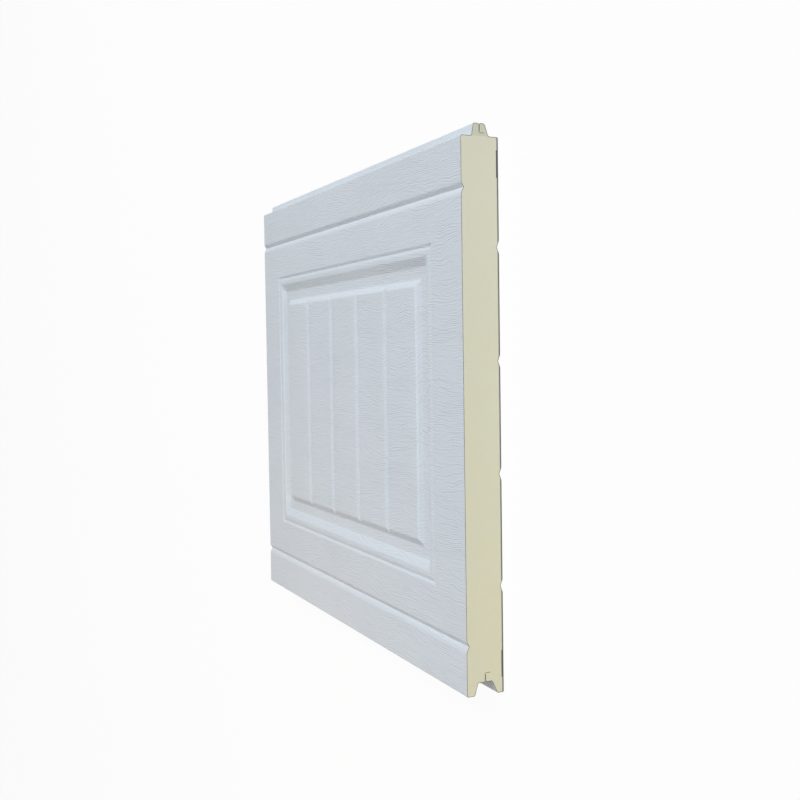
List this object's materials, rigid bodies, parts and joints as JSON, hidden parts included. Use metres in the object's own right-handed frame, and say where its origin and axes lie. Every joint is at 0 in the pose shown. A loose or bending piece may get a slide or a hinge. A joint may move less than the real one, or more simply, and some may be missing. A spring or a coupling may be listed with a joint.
{
  "type": "sectional garage door panel",
  "caption": "Cut sample of an insulated steel sectional garage door panel: embossed face with framed recess and bead grooves, foam core, tongue and groove edges.",
  "frame": {"origin": "centre of the panel's back, where it rests, midway along its length and its overall height", "axes": "+X along the panel towards the cut end nearest the camera, +Y from the grooved lower edge to the tongued upper edge, +Z out of the weather face"},
  "size_m": [0.61, 0.545, 0.04],
  "materials": {
    "white_face_paint": "satin",
    "white_back_paint": "satin",
    "rigid_foam": "matte",
    "galvanised_steel": "satin"
  },
  "bodies": {
    "root": {"front_skin": "white_face_paint", "back_skin": "white_back_paint", "foam_core": "rigid_foam", "upper_reinforcing_strip": "galvanised_steel", "lower_reinforcing_strip": "galvanised_steel"}
  },
  "joints": []
}
